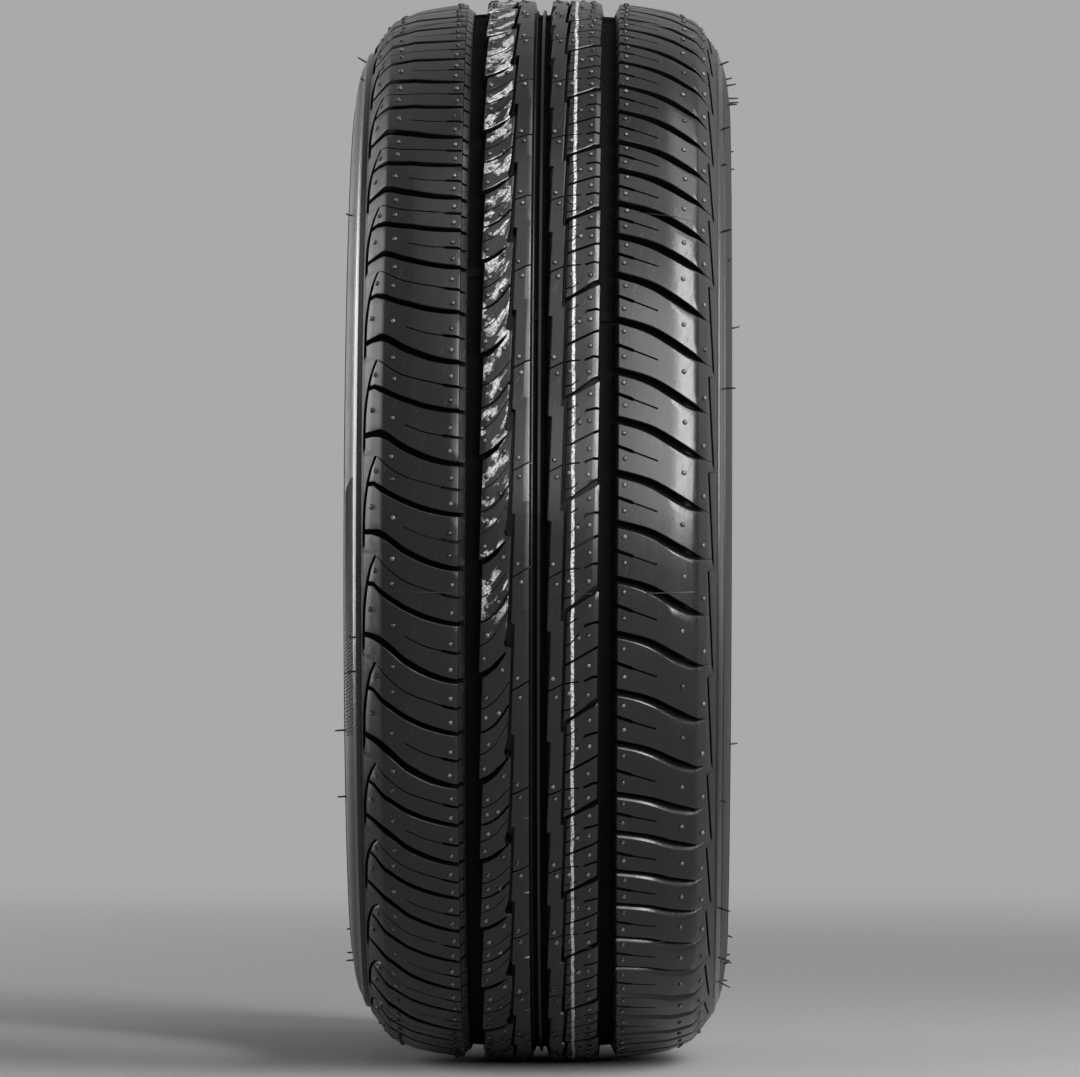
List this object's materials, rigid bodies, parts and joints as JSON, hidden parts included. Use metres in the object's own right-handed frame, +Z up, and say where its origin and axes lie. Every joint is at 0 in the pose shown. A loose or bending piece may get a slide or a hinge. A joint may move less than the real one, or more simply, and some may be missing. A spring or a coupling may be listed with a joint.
{
  "type": "car tyre",
  "caption": "Tubeless radial car tyre with an asymmetric ribbed tread, slanted shoulder grooves, bulging sidewalls and round bead seats for a wheel rim.",
  "frame": {"origin": "centre of the tyre, on its spin axis midway between the sidewalls", "axes": "+Y along the spin axis, +Z up, tread seen from +X"},
  "size_m": [0.6427, 0.226, 0.6427],
  "materials": {
    "rubber": "satin black moulded rubber"
  },
  "bodies": {
    "root": {"tyre": "rubber"}
  },
  "joints": []
}
